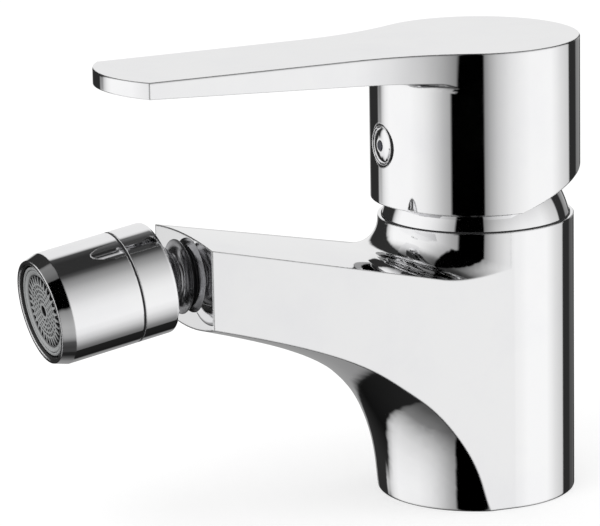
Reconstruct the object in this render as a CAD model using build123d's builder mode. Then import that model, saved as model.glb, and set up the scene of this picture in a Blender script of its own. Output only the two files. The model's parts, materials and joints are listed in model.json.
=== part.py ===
from build123d import *
import os
from math import acos, atan2, cos, hypot, radians, sin, sqrt

# Single-lever bidet mixer with a swivel outlet, in millimetres.
# Origin: centre of the base on the body's axis, at the deck. +Z up, the spout points along -Y.

os.makedirs("parts", exist_ok=True)

overrun = 20.0            # how far a cutting tool passes the face it opens
running_fit = 0.1         # radial clearance of a round fit that turns
static_fit = 0.05         # radial clearance of a round fit that stays put
slide_gap = 0.05          # gap between two flat faces that slide on each other
seat_gap = 0.3            # gap between two pieces that must not rub

# Body and spout. The cartridge sets how wide the body is.
cartridge_radius = 17.5
body_wall = 6.5
body_radius = cartridge_radius + body_wall
body_height = 69.0
spout_reach = 78.3            # body axis to the spout's flat end face
spout_end_half_width = 16.3
spout_end_rise = 4.0          # crown line at the end face, above the top of the body
spout_end_height = body_height + spout_end_rise
spout_rise = 11.6             # degrees the spout's top climbs on its way out
spout_crown = 1.1             # how far the crown line stands above the top's edges
shoulder_fillet = 6.3         # spout top into the body's wall
shoulder_runout = 0.8         # how far in front of the walls' touching line the shoulder ends
base_edge_fillet = 0.6
spout_edge_fillet = 0.2

# Lift axis of the lever, which is also the centre of the domed cap
pivot_drop = 5.0              # below the top of the body
pivot_height = body_height - pivot_drop
pivot_pin_radius = 1.5

# Cartridge levels. The lock nut clamps the cartridge's shoulder, and the stack below it sets the
# floor of the cavity.
shoulder_drop = 8.0
cartridge_base_thickness = 4.0
fixed_disc_thickness = 3.5
moving_disc_thickness = 3.0
carrier_thickness = 4.45
turret_flange_thickness = 2.8
shoulder_thickness = 3.8
disc_stack = cartridge_base_thickness + fixed_disc_thickness + slide_gap + moving_disc_thickness
turret_stack = carrier_thickness + seat_gap + turret_flange_thickness + running_fit
shoulder_top = body_height - shoulder_drop
cavity_floor_height = shoulder_top - shoulder_thickness - turret_stack - disc_stack
cartridge_base_top = cavity_floor_height + cartridge_base_thickness
fixed_disc_top = cartridge_base_top + fixed_disc_thickness
moving_disc_bottom = fixed_disc_top + slide_gap
moving_disc_top = moving_disc_bottom + moving_disc_thickness
carrier_top = moving_disc_top + carrier_thickness
turret_bottom = carrier_top + seat_gap
turret_flange_top = turret_bottom + turret_flange_thickness
shoulder_bottom = turret_flange_top + running_fit

# Neck of the casting, around the lock nut
lock_nut_overhang = 0.95      # beyond the cartridge
lock_nut_radius = cartridge_radius + lock_nut_overhang
nut_bore_radius = lock_nut_radius + static_fit
nut_bore_relief = 1.0
neck_wall = 1.5
neck_radius = nut_bore_radius + neck_wall

# Domed cap around the neck. Inside, a narrow land joins its bore to the sphere.
dome_inset = 0.55             # inside the body's wall
dome_wall = 1.3
dome_rise = 10.5
cap_land_width = 0.277
neck_above_land = 0.2
dome_radius = body_radius - dome_inset
dome_inner_radius = dome_radius - dome_wall
cap_bore_radius = neck_radius + static_fit
cap_land_top = pivot_height + sqrt(dome_inner_radius**2 - (cap_bore_radius + cap_land_width) ** 2)
neck_top = cap_land_top + neck_above_land
cavity_radius = cartridge_radius + running_fit

# Inlets, stud hole, ports and duct of the casting
inlet_half_spacing = 8.0
inlet_y = -4.5
inlet_bore_radius = 4.5           # tapping bore of an M10x1 thread
inlet_bore_depth = 14.0
stud_bore_radius = 3.4            # tapping bore of an M8 thread
stud_bore_depth = 14.0
stud_y = 13.5
inlet_port_radius = 2.0
inlet_port_x = 7.6            # where the inlets come through the cavity floor
disc_port_x = 4.7             # where they reach the ceramic discs
inlet_port_y = -5.6
outlet_port_radius = 2.4
outlet_port_y = 0.4
duct_radius = 3.5
duct_elbow_y = -21.0
duct_elbow_drop = 7.0         # below the cavity floor
duct_foot_drop = 9.0
duct_elbow_height = cavity_floor_height - duct_elbow_drop
duct_foot_height = cavity_floor_height - duct_foot_drop
floor_ports = ((-inlet_port_x, inlet_port_y), (inlet_port_x, inlet_port_y))
disc_ports = ((-disc_port_x, inlet_port_y), (disc_port_x, inlet_port_y))
all_ports = (*floor_ports, (0, outlet_port_y))

# Locating pins, base gasket and rear plug
locating_pin_radius = 2.0
locating_pin_length = 2.3
locating_pin_x = 10.0
locating_pin_y = 7.5
locating_pin_slack = 0.2
gasket_inset = 2.1            # inside the body's wall
gasket_width = 2.5
gasket_outer_radius = body_radius - gasket_inset
gasket_inner_radius = gasket_outer_radius - gasket_width
gasket_thickness = 2.2
rear_plug_radius = 3.0
rear_plug_drop = 6.5          # below the cavity floor
rear_plug_height = cavity_floor_height - rear_plug_drop
rear_plug_length = 6.0
rear_plug_dome = 0.35
rear_plug_edge = 0.2
locating_pins = ((-locating_pin_x, locating_pin_y), (locating_pin_x, locating_pin_y))

# Swivel outlet
ball_radius = 9.8
ball_overhang = 11.2          # end face to ball centre
ball_drop = 10.4              # below the crown line at the end face
ball_height = spout_end_height - ball_drop
outlet_pitch = 9.3            # degrees the barrel points down at rest
barrel_radius = 13.45
nipple_tail_radius = 6.95
nipple_tail_length = 10.0
nipple_bore_runout = 1.0
nipple_bore_radius = nipple_tail_radius + static_fit
nipple_bore_depth = nipple_tail_length + nipple_bore_runout

# Directions and planes of the outlet: x runs out from the barrel's axis, y along it
ball_centre = Vector(0, -spout_reach - ball_overhang, ball_height)
barrel_direction = Vector(0, -cos(radians(outlet_pitch)), -sin(radians(outlet_pitch)))
barrel_up = Vector(0, -sin(radians(outlet_pitch)), cos(radians(outlet_pitch)))
barrel_axis = Axis(ball_centre, barrel_direction)
barrel_section = Plane(origin=ball_centre, x_dir=barrel_up, z_dir=(1, 0, 0))
nipple_axis = Axis(ball_centre, (0, -1, 0))
nipple_section = Plane(origin=ball_centre, x_dir=(0, 0, 1), z_dir=(1, 0, 0))


def outline(*points):
    """Fill the closed polygon through these points on the current sketch plane."""
    with BuildLine() as sides:
        Polyline(*points, close=True)
    make_face(sides.edges())


def on_sphere(radius, along):
    """Point of a sphere's section at this distance along the axis: radius out, then along."""
    return (sqrt(radius**2 - along**2), along)


# Where the spout's side walls touch the round body
corner_distance = hypot(spout_end_half_width, spout_reach)
tangent_angle = atan2(-spout_reach, spout_end_half_width) + acos(body_radius / corner_distance)
tangent_x = body_radius * cos(tangent_angle)
tangent_y = body_radius * sin(tangent_angle)

# Cutter above the spout: a crowned underside, a round hole for the body, and the shoulder's fillet
crown_radius = (spout_end_half_width**2 + spout_crown**2) / (2 * spout_crown)
cutter_half_width = body_radius + overrun
cutter_drop = crown_radius - sqrt(crown_radius**2 - cutter_half_width**2)
crown_plane = Plane(
    origin=(0, -spout_reach, spout_end_height),
    x_dir=(1, 0, 0),
    z_dir=(0, -cos(radians(spout_rise)), sin(radians(spout_rise))),
)

with BuildPart() as top_cutter:
    with BuildSketch(crown_plane):
        with BuildLine():
            ThreePointArc((-cutter_half_width, -cutter_drop), (0, 0), (cutter_half_width, -cutter_drop))
            Polyline(
                (cutter_half_width, -cutter_drop),
                (cutter_half_width, 2 * overrun),
                (-cutter_half_width, 2 * overrun),
                (-cutter_half_width, -cutter_drop),
            )
        make_face()
    extrude(amount=spout_reach + overrun, both=True)
    with BuildSketch(Plane.XY.offset(-overrun)):
        with Locations((0, tangent_y - shoulder_runout - spout_reach)):
            Rectangle(2 * cutter_half_width, 2 * spout_reach)
    extrude(amount=2 * spout_end_height, mode=Mode.INTERSECT)
    with BuildSketch(Plane.XY):
        Circle(body_radius)
    extrude(amount=2 * spout_end_height, mode=Mode.SUBTRACT)
    round_hole = top_cutter.faces().filter_by(
        lambda face: face.geom_type == GeomType.CYLINDER and abs(face.radius - body_radius) < static_fit
    )
    fillet(round_hole.edges().sort_by(Axis.Z)[0], shoulder_fillet)

# The curve under the spout, a cubic led by four points. It starts beyond the spout's end and sweeps
# down to the foot of the body. The first two points are shares of the spout's reach and of the
# body's height, the last two shares of the body's radius and of its height.
belly_spout_shares = ((1.124, 0.770), (0.449, 0.563))
belly_foot_shares = ((1.1225, 0.440), (1.0245, -0.014))

# Arcs strung on that curve: share along it, then the arc's radius and the depth kept behind it as
# shares of the body's radius, and how many degrees the arc's plane has turned from upright.
belly_station_shares = (
    (0.0, 2.50, 1.20, 15.0),
    (0.1, 2.56, 1.32, 17.0),
    (0.2, 2.60, 1.50, 20.0),
    (0.3, 2.50, 1.85, 24.5),
    (0.4, 2.32, 2.20, 31.5),
    (0.5, 2.12, 2.45, 41.0),
    (0.6, 1.75, 2.35, 53.0),
    (0.7, 1.38, 1.85, 65.0),
    (0.8, 1.18, 1.60, 75.0),
    (0.9, 1.08, 1.50, 83.0),
    (1.0, 1.03, 1.42, 90.0),
)
belly_half_width_share = 1.06
belly_guide = [
    *(Vector(0, -share_y * spout_reach, share_z * body_height) for share_y, share_z in belly_spout_shares),
    *(Vector(0, -share_y * body_radius, share_z * body_height) for share_y, share_z in belly_foot_shares),
]


def belly_point(share):
    """Point of the cubic curve at this share of its length in parameter."""
    rest = 1 - share
    weights = (rest**3, 3 * rest**2 * share, 3 * rest * share**2, share**3)
    return sum((point * weight for point, weight in zip(belly_guide, weights)), Vector(0, 0, 0))


# Everything above and behind the belly, which the casting is cut to
with BuildPart() as keeper:
    for share, radius_share, depth_share, turn in belly_station_shares:
        arc_radius = radius_share * body_radius
        half_width = min(belly_half_width_share * body_radius, arc_radius)
        arc_depth = arc_radius - sqrt(arc_radius**2 - half_width**2)
        depth = depth_share * body_radius
        along = (0, -cos(radians(turn)), sin(radians(turn)))
        with BuildSketch(Plane(origin=belly_point(share), x_dir=(1, 0, 0), z_dir=along)):
            with BuildLine():
                ThreePointArc((-half_width, arc_depth), (0, 0), (half_width, arc_depth))
                Polyline(
                    (half_width, arc_depth),
                    (half_width, depth),
                    (-half_width, depth),
                    (-half_width, arc_depth),
                )
            make_face()
    loft()
    with BuildSketch(Plane.XY.offset(-overrun)):
        with Locations((0, body_radius)):
            Rectangle(2 * cutter_half_width, 2 * (body_radius - tangent_y))
    extrude(amount=2 * spout_end_height)

# Waterway from the cartridge's outlet port, under the cavity and out along the spout
duct_start = (0, -spout_reach + nipple_bore_depth, ball_height)
duct_elbow = (0, duct_elbow_y, duct_elbow_height)
duct_foot = (0, outlet_port_y + outlet_port_radius, duct_foot_height)

with BuildPart() as duct:
    with BuildLine():
        Polyline(duct_start, duct_elbow, duct_foot)
    with BuildSketch(Plane(origin=duct_start, z_dir=Vector(*duct_elbow) - Vector(*duct_start))):
        Circle(duct_radius)
    sweep(transition=Transition.ROUND)

with BuildPart() as body_casting:
    with BuildSketch(Plane.XY):
        with BuildLine():
            Line((-spout_end_half_width, -spout_reach), (spout_end_half_width, -spout_reach))
            Line((spout_end_half_width, -spout_reach), (tangent_x, tangent_y))
            ThreePointArc((tangent_x, tangent_y), (0, body_radius), (-tangent_x, tangent_y))
            Line((-tangent_x, tangent_y), (-spout_end_half_width, -spout_reach))
        make_face()
    extrude(amount=spout_end_height + spout_crown)
    add(top_cutter.part, mode=Mode.SUBTRACT)
    with BuildSketch(Plane.XY.offset(body_height)):
        Circle(body_radius + shoulder_fillet)
    extrude(amount=overrun, mode=Mode.SUBTRACT)
    add(keeper.part, mode=Mode.INTERSECT)
    # Softened edges round the spout's end, along its sides and round the foot
    spout_edges = body_casting.edges().filter_by(
        lambda edge: edge.bounding_box().min.Y < seat_gap - spout_reach
    )
    fillet(spout_edges, spout_edge_fillet)
    base_edges = body_casting.edges().filter_by(lambda edge: edge.bounding_box().max.Z < slide_gap)
    fillet(base_edges, base_edge_fillet)
    # Neck, cavity and the bore for the lock nut
    with BuildSketch(Plane.XY.offset(body_height)):
        Circle(neck_radius)
    extrude(amount=neck_top - body_height)
    with BuildSketch(Plane.XY.offset(cavity_floor_height)):
        Circle(cavity_radius)
    extrude(amount=body_height, mode=Mode.SUBTRACT)
    with BuildSketch(Plane.XY.offset(shoulder_top - nut_bore_relief)):
        Circle(nut_bore_radius)
    extrude(amount=body_height, mode=Mode.SUBTRACT)
    # Ports in the cavity floor and the bores in the base
    with BuildSketch(Plane.XY.offset(inlet_bore_depth)):
        with Locations(*floor_ports):
            Circle(inlet_port_radius)
    extrude(amount=cavity_floor_height - inlet_bore_depth, mode=Mode.SUBTRACT)
    with BuildSketch(Plane.XY):
        with Locations((-inlet_half_spacing, inlet_y), (inlet_half_spacing, inlet_y)):
            Circle(inlet_bore_radius)
    extrude(amount=inlet_bore_depth, mode=Mode.SUBTRACT)
    with BuildSketch(Plane.XY):
        with Locations((0, stud_y)):
            Circle(stud_bore_radius)
    extrude(amount=stud_bore_depth, mode=Mode.SUBTRACT)
    with BuildSketch(Plane.XY.offset(duct_foot_height)):
        with Locations((0, outlet_port_y)):
            Circle(outlet_port_radius)
    extrude(amount=cavity_floor_height - duct_foot_height, mode=Mode.SUBTRACT)
    with BuildSketch(Plane.XY.offset(cavity_floor_height)):
        with Locations(*locating_pins):
            Circle(locating_pin_radius + running_fit)
    extrude(amount=-locating_pin_length - locating_pin_slack, mode=Mode.SUBTRACT)
    with BuildSketch(Plane.XY):
        Circle(gasket_outer_radius + running_fit)
        Circle(gasket_inner_radius - running_fit, mode=Mode.SUBTRACT)
    extrude(amount=gasket_thickness, mode=Mode.SUBTRACT)
    # Nipple's threaded bore, the duct behind it and the hole at the rear
    with BuildSketch(Plane.XZ.offset(spout_reach)):
        with Locations((0, ball_height)):
            Circle(nipple_bore_radius)
    extrude(amount=-nipple_bore_depth, mode=Mode.SUBTRACT)
    add(duct.part, mode=Mode.SUBTRACT)
    with BuildSketch(Plane.XZ.offset(-body_radius + rear_plug_length)):
        with Locations((0, rear_plug_height)):
            Circle(rear_plug_radius + static_fit)
    extrude(amount=-rear_plug_length - overrun, mode=Mode.SUBTRACT)
body_casting.part.label = "body_casting"
export_step(body_casting.part, "parts/body_casting.step")

# Pieces seated in the casting
with BuildPart() as base_gasket:
    with BuildSketch(Plane.XY):
        Circle(gasket_outer_radius)
        Circle(gasket_inner_radius, mode=Mode.SUBTRACT)
    extrude(amount=gasket_thickness)
base_gasket.part.label = "base_gasket"
export_step(base_gasket.part, "parts/base_gasket.step")

with BuildPart() as rear_plug:
    plug_face = Plane.XZ.offset(-body_radius)
    with BuildSketch(plug_face):
        with Locations((0, rear_plug_height)):
            Circle(rear_plug_radius)
    extrude(amount=rear_plug_length)
    with BuildSketch(plug_face):
        with Locations((0, rear_plug_height)):
            Circle(rear_plug_radius - rear_plug_edge)
    extrude(amount=-rear_plug_dome, taper=45)
rear_plug.part.label = "rear_plug"
export_step(rear_plug.part, "parts/rear_plug.step")

# Cartridge base: ports with a seal around each, channels that bring the inlets inwards, two pins
seal_inner_radius = 2.6
seal_outer_radius = 3.5
seal_thickness = 1.6
channel_depth = 1.8
channel_length = inlet_port_x - disc_port_x

with BuildPart() as cartridge_base:
    with BuildSketch(Plane.XY.offset(cavity_floor_height)):
        Circle(cartridge_radius)
    extrude(amount=cartridge_base_thickness)
    with BuildSketch(Plane.XY.offset(cavity_floor_height)):
        with Locations(*all_ports):
            Circle(seal_outer_radius + running_fit)
    extrude(amount=seal_thickness, mode=Mode.SUBTRACT)
    with BuildSketch(Plane.XY.offset(cavity_floor_height)):
        with Locations(*floor_ports):
            Circle(inlet_port_radius)
        with Locations((0, outlet_port_y)):
            Circle(outlet_port_radius)
    extrude(amount=cartridge_base_thickness, mode=Mode.SUBTRACT)
    with BuildSketch(Plane.XY.offset(cartridge_base_top)):
        for side in (-1, 1):
            with Locations((side * (inlet_port_x + disc_port_x) / 2, inlet_port_y)):
                SlotCenterToCenter(channel_length, 2 * inlet_port_radius)
    extrude(amount=-channel_depth, mode=Mode.SUBTRACT)
    with BuildSketch(Plane.XY.offset(cavity_floor_height)):
        with Locations(*locating_pins):
            Circle(locating_pin_radius)
    extrude(amount=-locating_pin_length)
cartridge_base.part.label = "cartridge_base"
export_step(cartridge_base.part, "parts/cartridge_base.step")

with BuildPart() as port_seals:
    with BuildSketch(Plane.XY.offset(cavity_floor_height)):
        with Locations(*all_ports):
            Circle(seal_outer_radius)
        with Locations(*all_ports):
            Circle(seal_inner_radius, mode=Mode.SUBTRACT)
    extrude(amount=seal_thickness)
port_seals.part.label = "port_seals"
export_step(port_seals.part, "parts/port_seals.step")

# Ceramic discs: the fixed one has the three ports, the moving one a keyhole pocket underneath
housing_wall = 1.1
housing_chamber_radius = cartridge_radius - housing_wall
fixed_disc_radius = housing_chamber_radius - 2 * running_fit
moving_disc_radius = 11.0
pocket_radius = 5.0
pocket_slot_half_width = 2.7
pocket_slot_end_y = 5.5
pocket_depth = 1.5
carrier_inset = 0.4
carrier_radius = moving_disc_radius - carrier_inset
stem_ball_radius = 2.9
stem_ball_slack = 0.15
carrier_window_half_width = stem_ball_radius + stem_ball_slack
stem_ball_height = moving_disc_top + carrier_thickness / 2
stem_end_gap = 0.45           # the ball is cut flat this far above the moving disc
stem_end_height = moving_disc_top + stem_end_gap

with BuildPart() as fixed_disc:
    with BuildSketch(Plane.XY.offset(cartridge_base_top)):
        Circle(fixed_disc_radius)
        with Locations(*disc_ports):
            Circle(inlet_port_radius, mode=Mode.SUBTRACT)
        with Locations((0, outlet_port_y)):
            Circle(outlet_port_radius, mode=Mode.SUBTRACT)
    extrude(amount=fixed_disc_thickness)
fixed_disc.part.label = "fixed_disc"
export_step(fixed_disc.part, "parts/fixed_disc.step")

with BuildPart() as moving_disc:
    with BuildSketch(Plane.XY.offset(moving_disc_bottom)):
        Circle(moving_disc_radius)
    extrude(amount=moving_disc_thickness)
    with BuildSketch(Plane.XY.offset(moving_disc_bottom)):
        Circle(pocket_radius)
        with Locations((0, pocket_slot_end_y / 2)):
            SlotCenterToCenter(pocket_slot_end_y, 2 * pocket_slot_half_width, rotation=90)
    extrude(amount=pocket_depth, mode=Mode.SUBTRACT)
moving_disc.part.label = "moving_disc"
export_step(moving_disc.part, "parts/moving_disc.step")

with BuildPart() as disc_carrier:
    with BuildSketch(Plane.XY.offset(moving_disc_top)):
        Circle(carrier_radius)
        Rectangle(2 * carrier_window_half_width, 2 * carrier_window_half_width, mode=Mode.SUBTRACT)
    extrude(amount=carrier_thickness)
disc_carrier.part.label = "disc_carrier"
export_step(disc_carrier.part, "parts/disc_carrier.step")

# Turret: turns in the housing, carries the pivot pin, and has the slot that the stem tips in
turret_flange_slack = 0.8
turret_flange_radius = housing_chamber_radius - turret_flange_slack
turret_inset = 5.5            # inside the cartridge's wall
turret_radius = cartridge_radius - turret_inset
turret_rise = 2.5             # above the top of the body
turret_top = body_height + turret_rise
turret_edge = 0.6
stem_half_width = 4.0
stem_slack = 0.15
stem_slot_half_width = stem_half_width + stem_slack
turret_front_wall = 4.0
turret_rear_wall = 3.6
stem_slot_front = turret_radius - turret_front_wall
stem_slot_rear = turret_radius - turret_rear_wall
turret_bore_radius = turret_radius + running_fit
pin_half_length = turret_radius - running_fit

with BuildPart() as turret:
    with BuildSketch(Plane.XY.offset(turret_bottom)):
        Circle(turret_flange_radius)
    extrude(amount=turret_flange_thickness)
    with BuildSketch(Plane.XY.offset(turret_flange_top)):
        Circle(turret_radius)
    extrude(amount=turret_top - turret_flange_top)
    chamfer(turret.edges().sort_by(Axis.Z)[-1], turret_edge)
    with BuildSketch(Plane.XY.offset(turret_bottom)):
        with Locations((0, (stem_slot_rear - stem_slot_front) / 2)):
            Rectangle(2 * stem_slot_half_width, stem_slot_front + stem_slot_rear)
    extrude(amount=turret_top, mode=Mode.SUBTRACT)
    with BuildSketch(Plane.YZ.offset(-turret_radius)):
        with Locations((0, pivot_height)):
            Circle(pivot_pin_radius + static_fit)
    extrude(amount=2 * turret_radius, mode=Mode.SUBTRACT)
turret.part.label = "turret"
export_step(turret.part, "parts/turret.step")

with BuildPart() as pivot_pin:
    with BuildSketch(Plane.YZ.offset(-pin_half_length)):
        with Locations((0, pivot_height)):
            Circle(pivot_pin_radius)
    extrude(amount=2 * pin_half_length)
pivot_pin.part.label = "pivot_pin"
export_step(pivot_pin.part, "parts/pivot_pin.step")

# Housing of the cartridge, a bell with a shoulder and a neck
housing_neck_wall = 1.5
housing_neck_radius = turret_bore_radius + housing_neck_wall
housing_neck_rise = 1.0
housing_neck_top = body_height + housing_neck_rise

with BuildPart() as cartridge_housing:
    with BuildSketch(Plane.XZ):
        outline(
            (housing_chamber_radius, cartridge_base_top),
            (cartridge_radius, cartridge_base_top),
            (cartridge_radius, shoulder_top),
            (housing_neck_radius, shoulder_top),
            (housing_neck_radius, housing_neck_top),
            (turret_bore_radius, housing_neck_top),
            (turret_bore_radius, shoulder_bottom),
            (housing_chamber_radius, shoulder_bottom),
        )
    revolve(axis=Axis.Z)
cartridge_housing.part.label = "cartridge_housing"
export_step(cartridge_housing.part, "parts/cartridge_housing.step")

# Lock nut: a threaded ring with a hexagon above
nut_thread_rise = 0.5
nut_rise = 5.0
nut_wall = 1.8                # between the bore and the flats
nut_thread_top = body_height + nut_thread_rise
nut_top = body_height + nut_rise
nut_bore = housing_neck_radius + running_fit

with BuildPart() as lock_nut:
    with BuildSketch(Plane.XY.offset(shoulder_top)):
        Circle(lock_nut_radius)
    extrude(amount=nut_thread_top - shoulder_top)
    with BuildSketch(Plane.XY.offset(nut_thread_top)):
        RegularPolygon(radius=nut_bore + nut_wall, side_count=6, major_radius=False)
    extrude(amount=nut_top - nut_thread_top)
    with BuildSketch(Plane.XY.offset(shoulder_top)):
        Circle(nut_bore)
    extrude(amount=nut_top - shoulder_top, mode=Mode.SUBTRACT)
lock_nut.part.label = "lock_nut"
export_step(lock_nut.part, "parts/lock_nut.step")

# Domed cap: a spherical shell about the lift axis, screwed over the casting's neck
dome_top = body_height + dome_rise
dome_plane = Plane(origin=(0, 0, pivot_height), x_dir=(1, 0, 0), z_dir=(0, -1, 0))

with BuildPart() as dome_cap:
    with BuildSketch(dome_plane):
        foot = body_height - pivot_height
        rim = dome_top - pivot_height
        land = cap_land_top - pivot_height
        with BuildLine():
            ThreePointArc(
                on_sphere(dome_radius, foot),
                on_sphere(dome_radius, (foot + rim) / 2),
                on_sphere(dome_radius, rim),
            )
            Line(on_sphere(dome_radius, rim), on_sphere(dome_inner_radius, rim))
            ThreePointArc(
                on_sphere(dome_inner_radius, rim),
                on_sphere(dome_inner_radius, (land + rim) / 2),
                on_sphere(dome_inner_radius, land),
            )
            Polyline(
                on_sphere(dome_inner_radius, land),
                (cap_bore_radius, land),
                (cap_bore_radius, foot),
                on_sphere(dome_radius, foot),
            )
        make_face()
    revolve(axis=Axis.Z)
dome_cap.part.label = "dome_cap"
export_step(dome_cap.part, "parts/dome_cap.step")

# Cartridge stem: square where the lever grips it, a thin rod and a ball end below the pin
stem_rise = 27.0
stem_square_drop = 5.5        # below the pin
stem_top = body_height + stem_rise
stem_square_bottom = pivot_height - stem_square_drop
stem_rod_radius = 2.1

with BuildPart() as cartridge_stem:
    with BuildSketch(Plane.XY.offset(stem_square_bottom)):
        Rectangle(2 * stem_half_width, 2 * stem_half_width)
    extrude(amount=stem_top - stem_square_bottom)
    with BuildSketch(Plane.XY.offset(stem_ball_height)):
        Circle(stem_rod_radius)
    extrude(amount=stem_square_bottom - stem_ball_height)
    with Locations((0, 0, stem_ball_height)):
        Sphere(stem_ball_radius)
    with BuildSketch(Plane.XY.offset(stem_end_height)):
        Circle(2 * stem_ball_radius)
    extrude(amount=-2 * stem_ball_radius, mode=Mode.SUBTRACT)
    with BuildSketch(Plane.YZ.offset(-stem_half_width)):
        with Locations((0, pivot_height)):
            Circle(pivot_pin_radius + static_fit)
    extrude(amount=2 * stem_half_width, mode=Mode.SUBTRACT)
cartridge_stem.part.label = "cartridge_stem"
export_step(cartridge_stem.part, "parts/cartridge_stem.step")

# Lever: a hub cup with a flat paddle that flares into it
lever_rise = 44.0             # this and the next heights count from the top of the body
hub_rise = 4.7
hub_rear_rise = 13.4          # the slanted rim at the back of the hub
boss_rise = 15.0
grub_rise = 19.3
hub_overhang = 1.6
lever_top = body_height + lever_rise
hub_radius = body_radius + hub_overhang
hub_wall = 2.2
hub_bottom = body_height + hub_rise
hub_rear_bottom = body_height + hub_rear_rise
hub_slant_y = -1.0            # where the rim starts to climb
roof_thickness = 5.0
paddle_half_width = 16.0
paddle_tip_half_width = 15.6
paddle_reach = 98.0
paddle_tip_bow = 5.4          # the arc of the tip, from its corners to its middle
paddle_corner_reach = paddle_reach - paddle_tip_bow
paddle_flare_y = -40.0        # where the paddle starts to widen into the hub
paddle_root_thickness = 6.8
paddle_underside_tilt = 2.4   # degrees the underside climbs towards the tip
root_fillet = 2.5
lever_edge_fillet = 0.4
boss_radius = 7.5
boss_bottom = body_height + boss_rise
grub_height = body_height + grub_rise
grub_radius = 2.45
grub_length = 6.0
button_plug_radius = 2.7
button_radius = 4.95
button_slack = 0.3
button_recess_radius = button_radius + button_slack
button_recess_depth = 1.2
grip_half_width = stem_half_width + static_fit
hub_inner_radius = hub_radius - hub_wall
recess_floor_y = -hub_radius + button_recess_depth


def underside(reach):
    """Height of the paddle's underside at this distance in front of the body's axis."""
    rise = (reach - hub_radius) * sin(radians(paddle_underside_tilt)) / cos(radians(paddle_underside_tilt))
    return lever_top - paddle_root_thickness + rise


# The room below the paddle, in front of the round hub
with BuildPart() as below_paddle:
    with BuildSketch(Plane.YZ):
        outline(
            (-paddle_reach - overrun, underside(paddle_reach + overrun)),
            (0, underside(0)),
            (0, 0),
            (-paddle_reach - overrun, 0),
        )
    extrude(amount=hub_radius + overrun, both=True)
    with BuildSketch(Plane.XY):
        Circle(hub_radius)
    extrude(amount=lever_top, mode=Mode.SUBTRACT)
    hub_hole = below_paddle.faces().filter_by(GeomType.CYLINDER)
    fillet(hub_hole.edges().sort_by(Axis.Z)[-1], root_fillet)

# The flare is an arc that touches the paddle's side and the round hub
flare_radius = (paddle_half_width**2 + paddle_flare_y**2 - hub_radius**2) / (
    2 * (hub_radius - paddle_half_width)
)
flare_centre = Vector(paddle_half_width + flare_radius, paddle_flare_y)
flare_end = flare_centre.normalized() * hub_radius
flare_start = Vector(paddle_half_width, paddle_flare_y)
flare_middle = flare_centre + ((flare_start + flare_end) / 2 - flare_centre).normalized() * flare_radius

with BuildPart() as lever_handle:
    with BuildSketch(Plane.XY.offset(hub_bottom)):
        with BuildLine():
            Line((paddle_tip_half_width, -paddle_corner_reach), (flare_start.X, flare_start.Y))
            ThreePointArc(
                (flare_start.X, flare_start.Y), (flare_middle.X, flare_middle.Y), (flare_end.X, flare_end.Y)
            )
            mirror(about=Plane.YZ)
            ThreePointArc((flare_end.X, flare_end.Y), (0, hub_radius), (-flare_end.X, flare_end.Y))
            ThreePointArc(
                (-paddle_tip_half_width, -paddle_corner_reach),
                (0, -paddle_reach),
                (paddle_tip_half_width, -paddle_corner_reach),
            )
        make_face()
    extrude(amount=lever_top - hub_bottom)
    add(below_paddle.part, mode=Mode.SUBTRACT)
    fillet(lever_handle.faces().sort_by(Axis.Z)[-1].edges(), lever_edge_fillet)
    # Slanted rim, so that the hub clears the body when the lever tips back
    with BuildSketch(Plane.YZ):
        outline(
            (hub_slant_y, hub_bottom),
            (hub_radius, hub_rear_bottom),
            (hub_radius + overrun, hub_rear_bottom),
            (hub_radius + overrun, 0),
            (hub_slant_y, 0),
        )
    extrude(amount=hub_radius + overrun, both=True, mode=Mode.SUBTRACT)
    # Hollow hub with a square-holed boss for the stem
    with BuildSketch(Plane.XY.offset(lever_top - roof_thickness)):
        Circle(hub_inner_radius)
    extrude(amount=-lever_top, mode=Mode.SUBTRACT)
    with BuildSketch(Plane.XY.offset(boss_bottom)):
        Circle(boss_radius)
    extrude(amount=lever_top - roof_thickness - boss_bottom)
    with BuildSketch(Plane.XY.offset(boss_bottom)):
        Rectangle(2 * grip_half_width, 2 * grip_half_width)
    extrude(amount=stem_top + seat_gap - boss_bottom, mode=Mode.SUBTRACT)
    # Grub screw's hole through the boss, and the button's seat in front of it
    with BuildSketch(Plane.XZ.offset(-stem_half_width)):
        with Locations((0, grub_height)):
            Circle(grub_radius + static_fit)
    extrude(amount=stem_half_width + boss_radius + static_fit, mode=Mode.SUBTRACT)
    with BuildSketch(Plane.XZ.offset(hub_inner_radius - hub_wall)):
        with Locations((0, grub_height)):
            Circle(button_plug_radius + running_fit)
    extrude(amount=2 * hub_wall, mode=Mode.SUBTRACT)
    with BuildSketch(Plane.XZ.offset(-recess_floor_y)):
        with Locations((0, grub_height)):
            Circle(button_recess_radius)
    extrude(amount=overrun, mode=Mode.SUBTRACT)
lever_handle.part.label = "lever_handle"
export_step(lever_handle.part, "parts/lever_handle.step")

with BuildPart() as grub_screw:
    with BuildSketch(Plane.XZ.offset(stem_half_width)):
        with Locations((0, grub_height)):
            Circle(grub_radius)
    extrude(amount=grub_length)
grub_screw.part.label = "grub_screw"
export_step(grub_screw.part, "parts/grub_screw.step")

# Index button in the hub's recess, with a small coloured insert
button_rim = 1.2
button_dome = 0.35
button_plug_length = 1.5
insert_radius = 1.15
insert_pocket_depth = 0.6
insert_proud = 0.1
button_crown_y = recess_floor_y - button_rim - button_dome

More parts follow.
